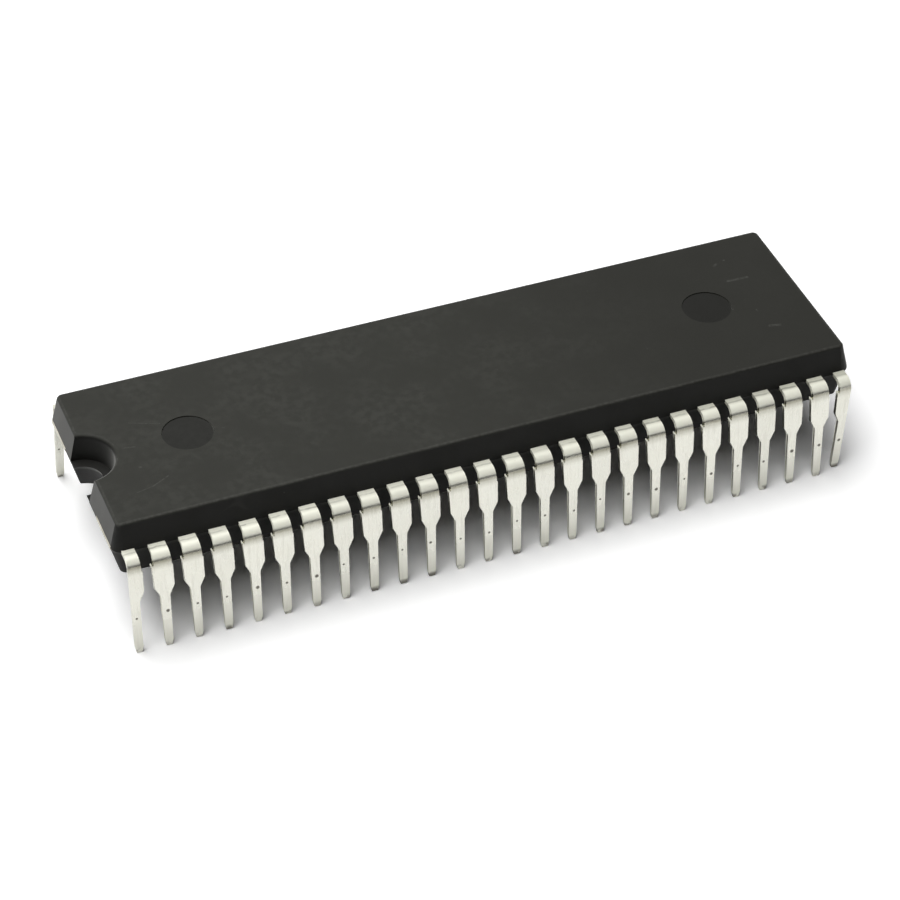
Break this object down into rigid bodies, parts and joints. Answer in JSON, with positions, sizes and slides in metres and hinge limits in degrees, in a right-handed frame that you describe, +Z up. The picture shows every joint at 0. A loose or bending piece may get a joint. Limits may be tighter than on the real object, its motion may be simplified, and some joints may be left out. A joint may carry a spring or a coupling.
{
  "type": "dip integrated circuit chip",
  "caption": "Dual in-line integrated circuit in a long shrink-pitch package: moulded body with an end notch and two rows of formed, necked leads on an inner leadframe.",
  "frame": {"origin": "middle between the two rows of leads, at the height of the lead tips", "axes": "+X along the body away from the notched end, +Y across it away from the row that starts with lead 1, +Z up from the lead tips to the top face"},
  "size_m": [0.0458, 0.0165, 0.0081],
  "materials": {
    "leads": "satin tin plate over alloy strip",
    "paddle": "bare stamped alloy",
    "attach": "cured silver-filled adhesive",
    "die": "polished silicon",
    "wires": "drawn gold",
    "mould": "fine matte moulded epoxy"
  },
  "bodies": {
    "root": {"lead_01": "leads", "lead_02": "leads", "lead_03": "leads", "lead_04": "leads", "lead_05": "leads", "lead_06": "leads", "lead_07": "leads", "lead_08": "leads", "lead_09": "leads", "lead_10": "leads", "lead_11": "leads", "lead_12": "leads", "lead_13": "leads", "lead_14": "leads", "lead_15": "leads", "lead_16": "leads", "lead_17": "leads", "lead_18": "leads", "lead_19": "leads", "lead_20": "leads", "lead_21": "leads", "lead_22": "leads", "lead_23": "leads", "lead_24": "leads", "lead_25": "leads", "lead_26": "leads", "lead_27": "leads", "lead_28": "leads", "lead_29": "leads", "lead_30": "leads", "lead_31": "leads", "lead_32": "leads", "lead_33": "leads", "lead_34": "leads", "lead_35": "leads", "lead_36": "leads", "lead_37": "leads", "lead_38": "leads", "lead_39": "leads", "lead_40": "leads", "lead_41": "leads", "lead_42": "leads", "lead_43": "leads", "lead_44": "leads", "lead_45": "leads", "lead_46": "leads", "lead_47": "leads", "lead_48": "leads", "lead_49": "leads", "lead_50": "leads", "lead_51": "leads", "lead_52": "leads", "die_paddle": "paddle", "die_attach": "attach", "silicon_die": "die", "bond_wires": "wires", "mould_body": "mould"}
  },
  "joints": []
}
